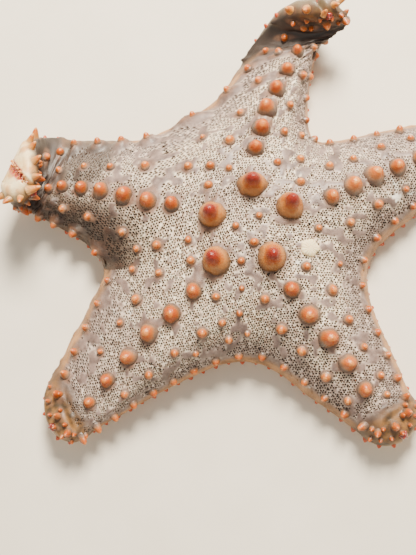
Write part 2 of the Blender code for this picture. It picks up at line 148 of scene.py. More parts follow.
# the unwrap: the upper side in one square, the sole in its corner, the flank in strips above
SPAN = 0.13  # half the side of the plan that is unwrapped
UPPER_CHART, SOLE_CHART = (2.8, (0.0, 0.0)), (0.98, (0.74, 0.74))  # scale, corner
STRIPS, STRIP_FOOT, STRIP_STEP, STRIP_HEIGHT = 4, 0.745, 0.06, 0.052
STRIP_LEFT, STRIP_WIDTH = 0.01, 0.70

PRIMARY, CARINAL, LESSER, MARGINAL, LOWER, SPINE = range(6)
Knob = namedtuple("Knob", "kind x y radius height mound reach underside", defaults=(False,))

DISC_CENTRE = Vector(sum(np.array(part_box("mouth"))) / 2)
DISC_CENTRE.z = 0

# ------------------------ camera and light
CAMERA_BEARING, CAMERA_ELEVATION, CAMERA_DISTANCE = 25, 77, 0.344
CAMERA_LENS = 53.84
AIM_HEIGHT = 0.030  # over the disc's centre
AIM_PLACE = (0.0482, 0.0616)  # where that point shows, right of and above the middle, per unit of distance
FLOOR_HALF = 3.0


# ------------------------ forms of the flat star, and its pose
def arm_coordinates(arm, x, y):
    """Distance out along the arm, and to the left of its straight axis."""
    turn = radians(arm.bearing)
    return x * cos(turn) + y * sin(turn), -x * sin(turn) + y * cos(turn)


def plan_point(arm, along, across):
    """The reverse of arm_coordinates."""
    east, north = cos(radians(arm.bearing)), sin(radians(arm.bearing))
    return along * east - across * north, along * north + across * east


def half_width(along, arm):
    share = np.clip(along / (arm.length - arm.tip), 0, 1)
    widening = 1 + (arm.breadth - 1) * np.sin(pi * share)
    return (ROOT_WIDTH + (arm.tip - ROOT_WIDTH) * share) * widening


def depth_inside(x, y):
    """How far a plan point lies inside the star's outline; negative outside."""
    outsides = []
    for bearing, reach in WEBS:
        turn, out = radians(bearing), reach - WEB_RADIUS
        outsides.append(np.hypot(x - out * cos(turn), y - out * sin(turn)) - WEB_RADIUS)
    for arm in ARMS:
        along, across = arm_coordinates(arm, x, y)
        beyond = along - np.clip(along, 0, arm.length - arm.tip)
        outsides.append(np.hypot(beyond, across) - half_width(along, arm))
    return MELT * np.log(sum(np.exp(-outside / MELT) for outside in outsides))


def crest_height(x, y):
    share = np.clip(np.hypot(x, y) / max(arm.length for arm in ARMS), 0, 1)
    return TIP_HEIGHT + (DISC_HEIGHT - TIP_HEIGHT) * (0.5 + 0.5 * np.cos(pi * share))


def top_height(x, y):
    """Height of the upper surface over a plan point inside the outline."""
    share = np.clip(depth_inside(x, y) / half_width(np.hypot(x, y), ARMS[0]), 0, 1)
    flank = (1 - (1 - share) ** SIDE_POWER) ** (1 / SIDE_POWER)
    return MARGIN_HEIGHT + (crest_height(x, y) - MARGIN_HEIGHT) * flank


def sole_height(x, y):
    """Height of the underside, without its furrows: flat, with a rounded edge."""
    share = np.clip(depth_inside(x, y) / SOLE_ROUNDING, 0, 1)
    return MARGIN_HEIGHT * (1 - np.sqrt(1 - (1 - share) ** 2))


def outline_radius(bearing):
    """Distance from the centre to the outline at each bearing, by bisection."""
    inner, outer = np.zeros_like(bearing), np.full_like(bearing, FURTHEST)
    for _ in range(40):
        middle = (inner + outer) / 2
        inside = depth_inside(middle * np.cos(bearing), middle * np.sin(bearing)) > 0
        inner, outer = np.where(inside, middle, inner), np.where(inside, outer, middle)
    return inner


def spine(arm, along):
    """Where the arm's curled midline has got to: distance out, height and angle."""
    start = arm.curl_from * arm.length
    steps = np.linspace(0, 1.15 * (arm.length - start), 200)
    angle = radians(arm.curl) * (steps / (arm.length - start)) ** CURL_POWER
    middle = angle[:-1] + np.diff(angle) / 2
    step = steps[1] - steps[0]
    out = start + running(np.cos(middle)) * step
    up = NEUTRAL_HEIGHT + running(np.sin(middle)) * step
    return [np.interp(along - start, steps, values) for values in (out, up, angle)]


def posed(points):
    """Points of the flat star, an N by 3 array, with arms swayed, crests leaning and tips curled up."""
    points = np.array(points, float).reshape(-1, 3)
    for arm in ARMS:
        along, across = arm_coordinates(arm, points[:, 0], points[:, 1])
        offside = np.abs(across) / half_width(along, arm)
        lean = np.interp(along, (0, *LEAN_AT), (0, arm.lean_in, arm.lean_out))
        crest = crest_height(points[:, 0], points[:, 1])
        rise = np.clip((points[:, 2] - MARGIN_HEIGHT) / (crest - MARGIN_HEIGHT), 0, None)
        sway = arm.sway * (np.clip(along, 0, None) / arm.length) ** 2
        shift = lean * rise * np.clip(1.5 - offside, 0, 1) + sway * np.clip((1.45 - offside) / 0.45, 0, 1)
        turn = radians(arm.bearing)
        points[:, 0] -= shift * sin(turn)
        points[:, 1] += shift * cos(turn)
        curled = (along > arm.curl_from * arm.length) & (np.abs(across) < CURL_REACH)
        out, up, angle = spine(arm, along[curled])
        rise = points[curled, 2] - NEUTRAL_HEIGHT
        shift = out - rise * np.sin(angle) - along[curled]
        slope = 2 * arm.sway * along[curled] / arm.length**2
        heading = turn + np.arctan(slope) + radians(arm.twist)
        points[curled, 0] += shift * np.cos(heading)
        points[curled, 1] += shift * np.sin(heading)
        points[curled, 2] = up + rise * np.cos(angle)
    return points


def placed(points):
    """The points of the flat star, posed and stood where the solids stand."""
    return posed(points) + np.array(DISC_CENTRE)


def raised(plan, height):
    return np.column_stack((plan, height(*plan.T)))


def surface_frame(x, y, underside=False):
    """Matrix that stands a piece on the posed surface at a plan point, its Z pointing outwards."""
    step = 0.0004
    plan = np.array([(x, y), (x + step, y), (x, y + step)])
    height = furrowed_height if underside else top_height
    here, east, north = (Vector(point) for point in placed(raised(plan, height)))
    up = (east - here).cross(north - here).normalized() * (-1 if underside else 1)
    side = (east - here).normalized()
    return Matrix.Translation(here) @ Matrix((side, up.cross(side), up)).transposed().to_4x4()


def tapered(share):
    """What is left of a furrow's width and depth at a share of its arm's length."""
    return 1 - 0.5 * share


def furrowed_height(x, y):
    """Height of the underside with a furrow under each arm and the mouth's hollow in the middle."""
    height = sole_height(x, y)
    for arm in ARMS:
        along, across = arm_coordinates(arm, x, y)
        share = tapered(np.clip(along / arm.length, 0, 1))
        inside = np.clip(1 - np.abs(across) / (GROOVE_WIDTH * share), 0, 1) * (along > 0)
        height = height + GROOVE_DEPTH * share * np.sin(inside * pi / 2) ** 1.2
    hollow = np.clip((MOUTH_RADIUS - np.hypot(x, y)) / (0.35 * MOUTH_RADIUS), 0, 1)
    return np.maximum(np.minimum(height, GROOVE_DEPTH), MOUTH_DEPTH * hollow * (2 - hollow))


def fifths(x, y):
    """Each point's arm, and its share of the way out along it and across it."""
    turn = np.degrees(np.arctan2(y, x))
    off = [np.abs((turn - arm.bearing + 180) % 360 - 180) for arm in ARMS]
    nearest = np.argmin(off, axis=0)
    along, across = np.zeros_like(x), np.zeros_like(x)
    for index, arm in enumerate(ARMS):
        out, side = arm_coordinates(arm, x, y)
        along = np.where(nearest == index, out / arm.length, along)
        across = np.where(nearest == index, side / half_width(out, arm), across)
    return nearest, along, across


def strongly_curled(nearest):
    """Whether each point's arm has a tip that turns right over."""
    return np.array([arm.curl > STRONG_CURL for arm in ARMS])[nearest]


def is_arm(nearest, name):
    return nearest == [arm.name for arm in ARMS].index(name)


def running(steps):
    """How far it is to each point along a line of steps."""
    return np.concatenate(([0], np.cumsum(steps)))


def smooth(low, high, value):
    share = np.clip((value - low) / (high - low), 0, 1)
    return share * share * (3 - 2 * share)


def smooth_by_curl(curled, limits, value):
    """A smooth step, with the first limits on the strongly curled arms and the second on the others."""
    (low, high), (other_low, other_high) = limits
    return smooth(np.where(curled, low, other_low), np.where(curled, high, other_high), value)


def noise(points, grain, seed):
    """Smooth noise from -1 to 1 at each point, with lumps of a given size in metres."""
    cell = points / grain
    corner = np.floor(cell).astype(np.int64)
    part = smooth(0, 1, cell - corner)
    total = np.zeros(len(points))
    for offset in itertools.product((0, 1), repeat=points.shape[1]):
        key = (corner + offset) @ np.array((73856093, 19349663, 83492791))[: points.shape[1]]
        key = key + seed * 668265263
        key = (key ^ (key >> 15)) * 2246822519 & 0xFFFFFFFF
        key = (key ^ (key >> 13)) * 3266489917 & 0xFFFFFFFF
        value = (key >> 16) / 32767.5 - 1
        total += value * np.prod(np.where(offset, part, 1 - part), axis=1)
    return total


# ------------------------ where the tubercles stand
def outline_points(step, inset):
    """Plan points a step apart along the outline, moved inside it, and their inward directions."""
    bearing = np.linspace(0, tau, 16000, endpoint=False)
    reach = outline_radius(bearing)
    x, y = reach * np.cos(bearing), reach * np.sin(bearing)
    run = running(np.hypot(np.diff(x), np.diff(y)))
    count = round(run[-1] / step)
    at = np.interp((np.arange(count) + 0.5) * run[-1] / count, run, np.arange(len(run))).astype(int)
    along = np.column_stack((np.gradient(x), np.gradient(y)))[at]
    along /= np.hypot(*along.T)[:, None]
    inward = np.column_stack((-along[:, 1], along[:, 0]))
    return np.column_stack((x, y))[at] + inset * inward, inward


def row_end(arm):
    """Distance out at which the rows along an arm end, short of the fold of its curled tip."""
    return min(arm.length - 1.3 * arm.tip, ROW_END * arm.curl_from * arm.length)


def stand_clear(x, y, taken, gap):
    return all(hypot(x - u, y - v) > radius + gap for u, v, radius in taken)


def scaled_knob(kind, x, y, size, scale, *mound):
    radius, height = (length * scale for length in size)
    return Knob(kind, x, y, radius, height, *mound)


def lesser_knob(x, y, scale):
    radius, height = (length * scale for length in LESSER_SIZE)
    return Knob(LESSER, x, y, radius, height, 0.3 * height, 1.7 * radius)


def row_knobs(dice):
    """The five great tubercles, and the row along each arm's crest."""
    for arm in ARMS:
        radius, height = PRIMARY_SIZE
        yield Knob(PRIMARY, *plan_point(arm, *arm.great), radius, height, 0.0009, 1.45 * radius)
        for index, scale in enumerate(CARINAL_SCALES):
            along = arm.first + arm.stride * index
            if along < row_end(arm):
                x, y = plan_point(arm, along, dice.uniform(-0.0006, 0.0006))
                radius, height = (length * scale for length in CARINAL_SIZE)
                yield Knob(CARINAL, x, y, radius, height, 0.26 * height, 1.5 * radius)


def lesser_sites():
    """Places and scales of lesser tubercles: three in the middle, and a row on each side of each arm."""
    for turn in (50, 170, 290):
        yield 0.0065 * cos(radians(turn)), 0.0065 * sin(radians(turn)), 0.85
    for arm in ARMS:
        for side in (-1, 1):
            for step in range(4):
                along = 0.0405 + 0.0135 * step
                if along < row_end(arm):
                    across = side * 0.46 * half_width(along, arm)
                    yield *plan_point(arm, along, across), 1.05 - 0.06 * step
            yield *plan_point(arm, 0.0265, side * 0.0100), 0.9


def scattered_knobs(taken, dice):
    """Lesser tubercles thrown at random, but clear of the ones already placed."""
    for _ in range(6000):
        x, y = dice.uniform(-0.12, 0.12, 2)
        scale = dice.uniform(0.55, 1.0)
        nearest, along, _ = fifths(np.array([x]), np.array([y]))
        arm = ARMS[nearest[0]]
        on_star = depth_inside(x, y) > 0.0065 and along[0] * arm.length < row_end(arm)
        if on_star and stand_clear(x, y, taken, SCATTERED_GAP):
            taken.append((x, y, 0.0022))
            yield lesser_knob(x, y, scale)


def marginal_knobs(margin, dice):
    """The row along the margin, on rounded swellings where a strongly curled arm shows its side."""
    nearest, along, across = fifths(*margin.T)
    for (x, y), index, share, side in zip(margin, nearest, along, across):
        arm = ARMS[index]
        beaded = 0.36 < share < {"left": 0.71, "back": 0.61 if side > 0 else 0}.get(arm.name, 0)
        growth = 1 + TIP_SPINES * np.clip(hypot(x, y) / ARMS[0].length - 0.6, 0, 0.4) / 0.4
        if arm.curl > STRONG_CURL and share < 0.93:
            growth = 0.9
        radius, height = MARGINAL_SIZE[0] * dice.uniform(0.9, 1.1), MARGINAL_SIZE[1] * growth
        mound = (BEAD, BEAD_REACH) if beaded else (0.0006, 0.0030)
        yield Knob(SPINE if share > 0.93 else MARGINAL, x, y, radius, height, *mound)


def lower_knobs(dice):
    """The small row under the margin, grown to big spines round the curled tips."""
    margin = outline_points(LOWER_STEP, LOWER_DEPTH)[0]
    nearest, along, _ = fifths(*margin.T)
    for (x, y), index, share in zip(margin, nearest, along):
        scale = dice.uniform(0.75, 1.1)
        arm = ARMS[index]
        if share > (0.80 if arm.name == "left" else 0.93) and arm.curl > STRONG_CURL:
            yield scaled_knob(SPINE, x, y, LOWER_SPINE_SIZE, scale, 0.0004, 0.0030, True)
        else:
            yield scaled_knob(LOWER, x, y, LOWER_SIZE, scale, 0.0002, 0.002, True)


def tip_knobs(dice):
    """Two arcs of spines round each tip's end."""
    for arm in ARMS:
        for ring, count in TIP_RINGS:
            out = arm.tip - ring
            for turn in np.radians(np.linspace(-TIP_SPREAD, TIP_SPREAD, count)):
                x, y = plan_point(arm, arm.length - arm.tip + out * cos(turn), out * sin(turn))
                yield scaled_knob(SPINE, x, y, TIP_SPINE_SIZE, dice.uniform(0.8, 1.15), 0.0003, 0.0022)


def all_knobs():
    """Every tubercle and spine of the upper side and the flank."""
    dice = np.random.default_rng(11)
    knobs = list(row_knobs(dice))
    taken = [(knob.x, knob.y, knob.radius) for knob in knobs] + [(*SIEVE_PLACE, SIEVE_RADIUS)]
    for x, y, scale in lesser_sites():
        x, y = (x, y) + dice.uniform(-0.0009, 0.0009, 2)
        if stand_clear(x, y, taken, LESSER_GAP):
            knobs.append(lesser_knob(x, y, scale * dice.uniform(0.85, 1.2)))
            taken.append((x, y, knobs[-1].radius))
    margin = outline_points(MARGINAL_STEP, MARGINAL_DEPTH)[0]
    taken += [(x, y, MARGINAL_SIZE[0]) for x, y in margin]
    knobs += scattered_knobs(taken, dice)
    return [*knobs, *marginal_knobs(margin, dice), *lower_knobs(dice), *tip_knobs(dice)]


# ------------------------ mesh helpers
def new_object(name, data):
    made = bpy.data.objects.new(name, data)
    bpy.context.scene.collection.objects.link(made)
    return made


def new_mesh(name, points, faces, uvs, attributes):
    """A piece from arrays of faces, each N by its number of corners, with their unwraps alike."""
    mesh = bpy.data.meshes.new(name)
    corners = np.concatenate([group.ravel() for group in faces])
    sizes = np.concatenate([np.full(len(group), group.shape[1]) for group in faces])
    mesh.vertices.add(len(points))
    mesh.vertices.foreach_set("co", np.ascontiguousarray(points, dtype=np.float32).ravel())
    mesh.loops.add(len(corners))
    mesh.loops.foreach_set("vertex_index", corners.astype(np.int32))
    mesh.polygons.add(len(sizes))
    mesh.polygons.foreach_set("loop_start", (np.cumsum(sizes) - sizes).astype(np.int32))
    mesh.update(calc_edges=True)
    mesh.shade_smooth()
    for label, values in attributes.items():
        layer = mesh.attributes.new(label, "FLOAT", "POINT")
        layer.data.foreach_set("value", np.asarray(values, dtype=np.float32))
    unwrap = mesh.uv_layers.new(name="OFBake")
    places = np.concatenate([uv.reshape(-1, 2) for uv in uvs])
    unwrap.uv.foreach_set("vector", places.astype(np.float32).ravel())
    return new_object(name, mesh)


def turned(profile, sides):
    """A form turned round Z, from its open foot to its closed tip.

    It comes as its points, its quads, the triangles of its tip, and each point's rise and place on a tile.
    """
    turns = np.arange(sides) * tau / sides
    profile = np.array(profile, float)
    radius, height = profile[:, 0], profile[:, 1]
    run = running(np.hypot(np.diff(radius), np.diff(height)))
    run = 1 - run / (run[-1] + radius[-1])
    circle = np.column_stack((np.cos(turns), np.sin(turns)))
    rings = [np.column_stack((r * circle, np.full(sides, z))) for r, z in profile]
    points = np.concatenate(rings + [np.array([(0, 0, height[-1] + 0.02 * (height[-1] - height[0]))])])
    tile = np.concatenate([share * circle for share in run] + [np.zeros((1, 2))])
    side = np.arange(sides)
    after = (side + 1) % sides
    row = np.arange(len(profile) - 1)[:, None] * sides
    corners = (row + side, row + after, row + sides + after, row + sides + side)
    quads = np.stack(corners, axis=-1).reshape(-1, 4)
    last = (len(profile) - 1) * sides
    tips = np.column_stack((last + side, last + after, np.full(sides, len(points) - 1)))
    rise = np.concatenate((np.repeat(height, sides), [1.0]))
    return points, quads, tips, rise, tile


class Joined:
    """Many small turned forms joined in one mesh, each with a square tile of its unwrap."""

    def __init__(self, name, count):
        self.name, self.grid = name, ceil(sqrt(count))
        self.parts, self.total = [], 0

    def add(self, form, matrix, **values):
        points, quads, tips, rise, tile = form
        matrix = np.array(matrix)
        moved = points @ matrix[:3, :3].T + matrix[:3, 3]
        row, column = divmod(len(self.parts), self.grid)
        spot = (np.array((column, row)) + 0.5 + 0.46 * tile) / self.grid
        values = {"rise": rise, **values}
        self.labels = list(values)
        spread = [np.broadcast_to(value, len(points)) for value in values.values()]
        self.parts.append((moved, quads + self.total, tips + self.total, spot[quads], spot[tips], *spread))
        self.total += len(points)

    def build(self):
        points, quads, tips, *rest = [np.concatenate(column) for column in zip(*self.parts)]
        return new_mesh(self.name, points, (quads, tips), rest[:2], dict(zip(self.labels, rest[2:])))


# ------------------------ the skin's mesh
AFTER = np.roll(np.arange(6), -1)  # the next corner round a six-sided cell
COLLAR, BEAD_COLLAR = 0.0011, 0.0030  # width of the smooth skin round a tubercle


def honeycomb(spacing, inset, jitter, seed):
    """Six-sided cells over the plan: centres, all corners, and each cell's corners anticlockwise."""
    rows = int(GRID_REACH / (spacing * sqrt(0.75))) + 2
    columns = int(GRID_REACH / spacing + rows / 2) + 2
    i, j = np.meshgrid(np.arange(-columns, columns + 1), np.arange(-rows, rows + 1), indexing="ij")
    even = spacing * np.stack((i + j / 2, j * sqrt(0.75)), axis=-1)
    dice = np.random.default_rng(seed)
    uneven = even + dice.uniform(-jitter, jitter, even.shape) * spacing
    up, down = np.zeros_like(even), np.zeros_like(even)
    up[:-1, :-1] = (uneven[:-1, :-1] + uneven[1:, :-1] + uneven[:-1, 1:]) / 3
    down[:-1, :-1] = (uneven[1:, :-1] + uneven[1:, 1:] + uneven[:-1, 1:]) / 3
    inside = depth_inside(even[..., 0], even[..., 1]) > inset + 0.8 * spacing
    at, by = np.nonzero(inside)

    def number(di, dj, lower):
        return 2 * ((at + di) * i.shape[1] + by + dj) + lower

    steps = ((0, 0, 0), (-1, 0, 1), (-1, 0, 0), (-1, -1, 1), (0, -1, 0), (0, -1, 1))
    ids = np.column_stack([number(*step) for step in steps])
    kept, cells = np.unique(ids, return_inverse=True)
    corners = np.stack((up, down), axis=2).reshape(-1, 2)[kept]
    return uneven[at, by], corners, cells.reshape(-1, 6)


def rim_of(cells):
    """The corners along the outside of a patch of cells, in order, anticlockwise."""
    edges = set(zip(cells.ravel().tolist(), np.roll(cells, -1, axis=1).ravel().tolist()))
    after = {start: end for start, end in edges if (end, start) not in edges}
    rim = [min(after)]
    while after[rim[-1]] != rim[0]:
        rim.append(after[rim[-1]])
    return np.array(rim)


def zipped(inner, outer, flat):
    """Triangles between two loops of vertices that both run anticlockwise."""
    start = np.argmin(np.hypot(*(flat[outer, :2] - flat[inner[0], :2]).T))
    outer = np.roll(outer, -start)
    inner, outer = np.append(inner, inner[0]), np.append(outer, outer[0])
    faces = []
    i = j = 0
    while i < len(inner) - 1 or j < len(outer) - 1:
        side = inner[i], outer[j]
        reach_in = dist(flat[inner[i + 1]], flat[side[1]]) if i < len(inner) - 1 else inf
        reach_out = dist(flat[side[0]], flat[outer[j + 1]]) if j < len(outer) - 1 else inf
        if reach_in <= reach_out:
            i += 1
            faces.append((*side, inner[i]))
        else:
            j += 1
            faces.append((*side, outer[j]))
    return np.array(faces)


def plate_noise(plan):
    return noise(plan, 0.0034, 3) + 0.5 * noise(plan, 0.0017, 4)


def smoothness(plan, knobs):
    """From 0 where the skin is full of pores to 1 where it is smooth plate."""
    nearest, along, _ = fifths(*plan.T)
    smoothed = smooth(0.16, 0.56, plate_noise(plan) + 0.25 * noise(plan, 0.013, 7))
    for knob in knobs:
        if knob.kind in (PRIMARY, CARINAL, LESSER) or knob.mound == BEAD:
            close = (np.abs(plan - (knob.x, knob.y)) < knob.radius + 0.004).all(axis=1)
            gap = np.hypot(*(plan[close] - (knob.x, knob.y)).T) - knob.radius
            collar = BEAD_COLLAR if knob.mound == BEAD else COLLAR
            smoothed[close] = np.maximum(smoothed[close], 1 - smooth(0.3 * collar, collar, gap))
    edge = 0.0036 + 0.0012 * noise(plan, 0.006, 5)
    margin = 1 - smooth(edge - 0.0006, edge + 0.0006, depth_inside(*plan.T))
    tip = smooth_by_curl(strongly_curled(nearest), PLATED_TIP, along + 0.06 * noise(plan, 0.006, 6))
    return np.maximum.reduce((smoothed, margin, tip))


def around(knob, flat, reach):
    """Which points lie within reach of a knob in the plan, and how far they are from its foot."""
    close = (np.abs(flat[:, :2] - (knob.x, knob.y)) < reach).all(axis=1)
    height = furrowed_height if knob.underside else top_height
    foot = (knob.x, knob.y, height(knob.x, knob.y))
    return close, np.linalg.norm(flat[close] - foot, axis=1)


def relief(flat, knobs, upper):
    """How far the skin stands proud of the flat star's smooth form."""
    x, y, _ = flat.T
    nearest, along, across = fifths(x, y)
    curled = strongly_curled(nearest)
    lift = 0.00035 * noise(flat, 0.011, 21) + 0.00016 * noise(flat, 0.0042, 22)
    lift += 0.0003 * smooth(0.1, 0.8, plate_noise(flat[:, :2]))
    folds = np.sin(along * tau * FOLDS + 4.5 * noise(flat, 0.008, 23) + 0.8 * across**2)
    folds = folds * (0.35 + 0.4 * noise(flat, 0.006, 24)) + 1.5 * noise(flat, 0.0036, 25)
    fading = smooth_by_curl(curled, FOLDED_TIP, along)
    fading *= smooth(-0.0005, 0.006, depth_inside(x, y))
    lift += np.where(curled, CURLED_FOLD, FOLD) * folds * fading
    for knob in knobs:
        if not knob.underside:
            close, gap = around(knob, flat, 2.2 * knob.reach)
            share = gap / knob.reach
            lift[close] += knob.mound * np.exp(-1.7 * share ** (3 if knob.mound == BEAD else 2))
    return lift * np.maximum(upper, is_arm(nearest, "back") * smooth(0.6, 0.75, along))


def closeness(flat, knobs):
    """From 0 to 1 by how near the skin is to a tubercle's foot."""
    near = np.zeros(len(flat))
    for knob in knobs:
        close, gap = around(knob, flat, 2.5 * knob.radius)
        near[close] = np.maximum(near[close], 1 - smooth(0.9 * knob.radius, 1.9 * knob.radius, gap))
    return near


def fans(first, second, hubs):
    """Triangles from the sides of six-sided cells to their hubs."""
    return np.stack((first, second, np.repeat(hubs[:, None], 6, axis=1)), axis=2).reshape(-1, 3)


def between(outside, inside):
    """Quads between six-sided rings and the rings inside them."""
    return np.stack((outside, outside[:, AFTER], inside[:, AFTER], inside), axis=2).reshape(-1, 4)


def flank_faces(start, count, high):
    """The quads of a band of so many columns and rows of points, and their unwrap in strips."""
    row, column = np.divmod(np.arange((high - 1) * count), count)
    base, after = start + row * count, (column + 1) % count
    faces = np.column_stack((base + column, base + count + column, base + count + after, base + after))
    width = ceil(count / STRIPS)
    left = (column % width) / width
    right = left + 1 / width
    top = STRIP_FOOT + STRIP_STEP * (column // width) + STRIP_HEIGHT * (1 - row / (high - 1))
    low = top - STRIP_HEIGHT / (high - 1)
    places = ((left, top), (left, low), (right, low), (right, top))
    uvs = [np.column_stack((STRIP_LEFT + STRIP_WIDTH * u, v)) for u, v in places]
    return faces, np.stack(uvs, axis=1)


def skin_attributes(flat, knobs, on_top, is_sole, upper_share):
    """What the skin's material is told at each point, all from 0 to 1."""
    x, y, _ = flat.T
    nearest, along, across = fifths(x, y)
    depth = depth_inside(x, y)
    curled = strongly_curled(nearest)
    left_arm, back_arm = is_arm(nearest, "left"), is_arm(nearest, "back")
    groove = GROOVE_WIDTH * tapered(np.clip(along, 0, 1))
    aside = np.abs(across) * half_width(along * np.array([arm.length for arm in ARMS])[nearest], ARMS[0])
    in_furrow = 1 - smooth_by_curl(curled, FURROW_SIDE, aside / groove)
    # the upper side's low edge takes the flank's brown: partly the band's own tone, partly painted shade on
    # the sloping sides
    lows = 1 - smooth(0.0012, 0.0034, depth + 0.0008 * noise(flat, 0.007, 31))
    # painted shade: the left arm's front side is darkened where it lies in shadow, partly its own darker
    # brown
    shaded_side = left_arm * smooth(-0.05, 0.4, across) * smooth(0.30, 0.5, along + 0.1 * across)
    folded_side = left_arm * smooth(0.15, -0.15, across)
    folded_side = folded_side * smooth(0.48, 0.56, along + 0.04 * noise(flat, 0.008, 32))
    tip = smooth_by_curl(curled, DARK_TIP, along + 0.03 * noise(flat, 0.006, 33))
    # the net turns mauve-grey: its own tone at random and towards the arms' ends, painted shade towards the
    # margins
    dusk = 0.22 + 0.8 * smooth(0.014, 0.004, depth + 0.003 * noise(flat, 0.009, 34))
    dusk = dusk + 0.4 * smooth(0.3, 0.8, along) + 0.5 * noise(flat, 0.015, 35)
    plate = np.where(on_top, 0, 1.0)
    plate[on_top] = smoothness(flat[on_top, :2], knobs)
    return {
        "plate": plate,
        "foot": closeness(flat, knobs),
        "flank": np.where(on_top, lows, 1.0),
        "dusk": np.clip(dusk, 0, 0.92),
        "tip": np.maximum(tip, 0.8 * folded_side),
        "end": smooth_by_curl(curled, TIP_END, along) * upper_share,
        "oral": (1 - upper_share) * (1 - 0.85 * back_arm * smooth(0.62, 0.74, along)),
        "dark": shaded_side * upper_share,
        "furrow": is_sole * in_furrow * (depth > 0.003),
        "hollow": np.zeros(len(flat)),
    }


def build_skin(knobs):
    """The whole skin in one closed mesh."""
    # the upper side: cells with a pore's rim and floor, and plain cells with a point in the middle
    dice = np.random.default_rng(5)
    centres, corners, cells = honeycomb(PORE_SPACING, UPPER_INSET, PORE_JITTER, 1)
    smoothed = smoothness(centres, knobs)
    pored = (smoothed < 0.5) & (dice.uniform(size=len(centres)) > PORES_MISSING)
    sizes = dice.uniform(*PORE_SCALES, len(centres)) * (1 - 0.4 * smoothed)
    spokes = corners[cells] - centres[:, None]
    spokes /= np.linalg.norm(spokes, axis=2, keepdims=True)
    rings = [
        (centres[:, None] + radius * sizes[:, None, None] * spokes)[pored].reshape(-1, 2)
        for radius in (PORE_RIM, PORE_FLOOR)
    ]
    plans = [corners, centres[~pored], *rings]
    upper = raised(np.concatenate(plans), top_height)
    ends = np.cumsum([len(plan) for plan in plans])
    _, middles, rims, floors, _ = np.split(np.arange(ends[-1]), ends)
    rims, floors = rims.reshape(-1, 6), floors.reshape(-1, 6)
    plain = cells[~pored]

    # the flank, from the honeycomb's edge over the margin to the sole
    edge, inward = outline_points(BAND_STEP, 0)
    count = len(edge)
    rows = [edge + share * UPPER_INSET * inward for share in UPPER_ROWS]
    rows += [edge + share * SOLE_INSET * inward for share in LOWER_ROWS]
    high = len(rows)
    heights = [top_height(*row.T) for row in rows[: len(UPPER_ROWS) - 1]] + [np.full(count, MARGIN_HEIGHT)]
    heights += [furrowed_height(*row.T) for row in rows[len(UPPER_ROWS) :]]
    band = np.concatenate([np.column_stack(pair) for pair in zip(rows, heights)])
    band_start = len(upper)

    # the sole, a granule to a cell
    sole_centres, sole_corners, sole_cells = honeycomb(SOLE_SPACING, SOLE_INSET, SOLE_JITTER, 2)
    sole = raised(np.concatenate((sole_corners, sole_centres)), furrowed_height)
    sole_start = band_start + len(band)
    hubs = sole_start + len(sole_corners) + np.arange(len(sole_centres))
    ring = sole_start + sole_cells
    flat = np.concatenate((upper, band, sole))

    first_row = band_start + np.arange(count)
    upper_stitch = zipped(rim_of(cells), first_row, flat)
    sole_rim = sole_start + rim_of(sole_cells)
    sole_stitch = zipped(sole_rim, first_row + (high - 1) * count, flat)[:, ::-1]

    def unwrapped(faces, chart):
        scale, corner = chart
        return faces, (flat[faces][..., :2] + SPAN) * scale + corner

    groups = [
        unwrapped(fans(plain, plain[:, AFTER], middles), UPPER_CHART),
        unwrapped(upper_stitch, UPPER_CHART),
        unwrapped(fans(ring[:, AFTER], ring, hubs), SOLE_CHART),
        unwrapped(sole_stitch, SOLE_CHART),
        flank_faces(band_start, count, high),
        unwrapped(between(cells[pored], rims), UPPER_CHART),
        unwrapped(between(rims, floors), UPPER_CHART),
        unwrapped(floors, UPPER_CHART),
    ]

    on_top = np.arange(len(flat)) < len(upper)
    is_sole = np.arange(len(flat)) >= sole_start
    row_of = np.zeros(len(flat))
    row_of[band_start:sole_start] = np.repeat(np.arange(high), count)
    flank_share = 1 - smooth(len(UPPER_ROWS) - 1, high - 3, row_of)
    upper_share = np.where(on_top, 1.0, np.where(is_sole, 0.0, flank_share))
    # the pores' floors and lips are painted near-black: painted shade in the pits
    pores = np.zeros(len(flat))
    pores[floors] = 1
    pores[rims] = 0.7
    attributes = {"pore": pores, **skin_attributes(flat, knobs, on_top, is_sole, upper_share)}
    skin = new_mesh("skin", flat, *zip(*groups), attributes)

    # the relief, square to the flat star's surface, and the pose
    normals = np.empty(len(flat) * 3, np.float32)
    skin.data.vertex_normals.foreach_get("vector", normals)
    swell = relief(flat, knobs, upper_share)
    # painted shade: 'hollow' marks where the relief sinks, and the folded tips are painted darker in these
    # creases
    hollow = smooth(0.0002, -0.0006, swell) + 0.6 * smooth(0.0008, 0.0, swell)
    skin.data.attributes["hollow"].data.foreach_set("value", np.clip(hollow, 0, 1).astype(np.float32))
    sink = np.zeros(len(flat))
    sink[rims] = -PORE_LIP
    sink[floors] = PORE_DEPTH
    sink[sole_start : sole_start + len(sole_corners)] = GRANULE
    moved = placed(flat + normals.reshape(-1, 3) * (swell - sink)[:, None])
    moved[:, 2] = np.maximum(moved[:, 2], 0)
    skin.data.vertices.foreach_set("co", moved.astype(np.float32).ravel())
    skin.data.update()
    return skin


# ------------------------ tubercles, spines, feet and the rest
# radius and height of each ring, from the foot to the tip
PRIMARY_PROFILE = (
    (1.16, -0.22), (1.07, -0.05), (1.0, 0.07), (0.93, 0.18), (0.84, 0.28), (0.74, 0.37), (0.65, 0.44),
    (0.58, 0.51), (0.54, 0.58), (0.51, 0.66), (0.47, 0.75), (0.40, 0.84), (0.30, 0.92), (0.17, 0.975),
    (0.06, 0.995),
)
BLUNT_PROFILE = (
    (1.20, -0.70), (1.22, -0.25), (1.10, -0.04), (1.01, 0.12), (0.92, 0.26), (0.83, 0.39), (0.75, 0.52),
    (0.67, 0.64), (0.57, 0.75), (0.44, 0.85), (0.29, 0.93), (0.14, 0.98), (0.05, 0.997),
)
SHARP_PROFILE = (
    (1.15, -0.25), (1.03, 0.02), (0.93, 0.2), (0.8, 0.4), (0.66, 0.58), (0.5, 0.75), (0.34, 0.88),
    (0.18, 0.96), (0.07, 0.995),
)
